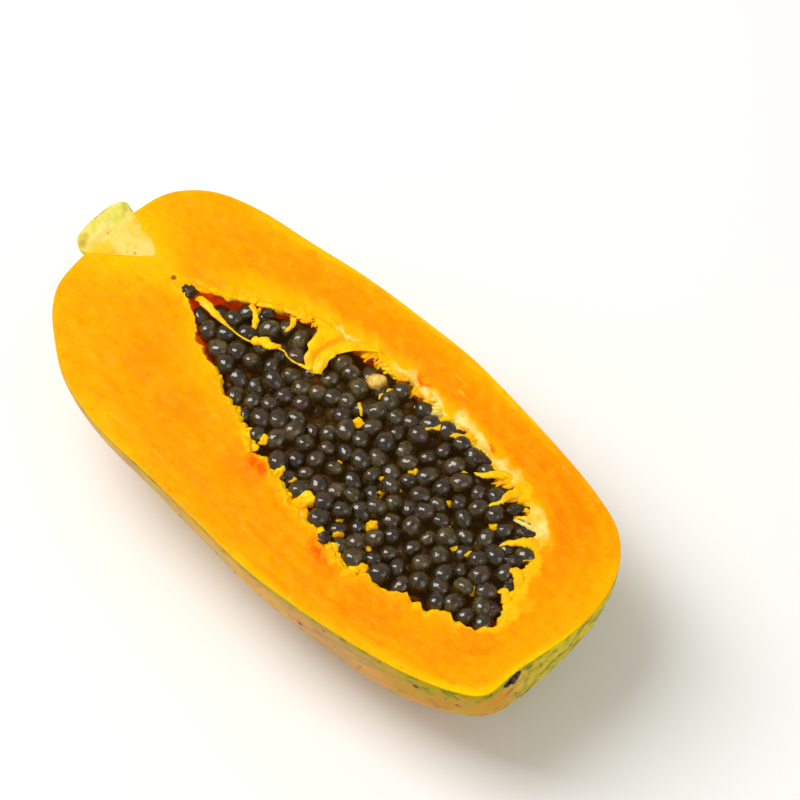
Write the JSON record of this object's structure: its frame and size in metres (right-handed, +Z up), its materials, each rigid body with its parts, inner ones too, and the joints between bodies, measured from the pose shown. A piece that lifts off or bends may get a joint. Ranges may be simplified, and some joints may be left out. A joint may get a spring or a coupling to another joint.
{
  "type": "papaya half",
  "caption": "Papaya cut in half lengthwise, cut face up, with a cavity full of dark round seeds and a halved stalk stub.",
  "frame": {"origin": "on the resting surface, below the middle of the bounding box", "axes": "+X along the fruit from the stalk to the blossom end, +Z up, normal to the cut face"},
  "size_m": [0.1962, 0.0964, 0.0516],
  "materials": {
    "flesh_and_skin": "moist ripe flesh, orange with deeper and paler bands, in thin yellow-ochre skin with green-grey blotches",
    "stalk": "cut stalk, cream with a yellow-green rind",
    "seed": "wet dark olive-brown seeds in a clear jelly coat"
  },
  "bodies": {
    "root": {"fruit_half": "flesh_and_skin", "stalk_stub": "stalk", "seeds": "seed"}
  },
  "joints": []
}
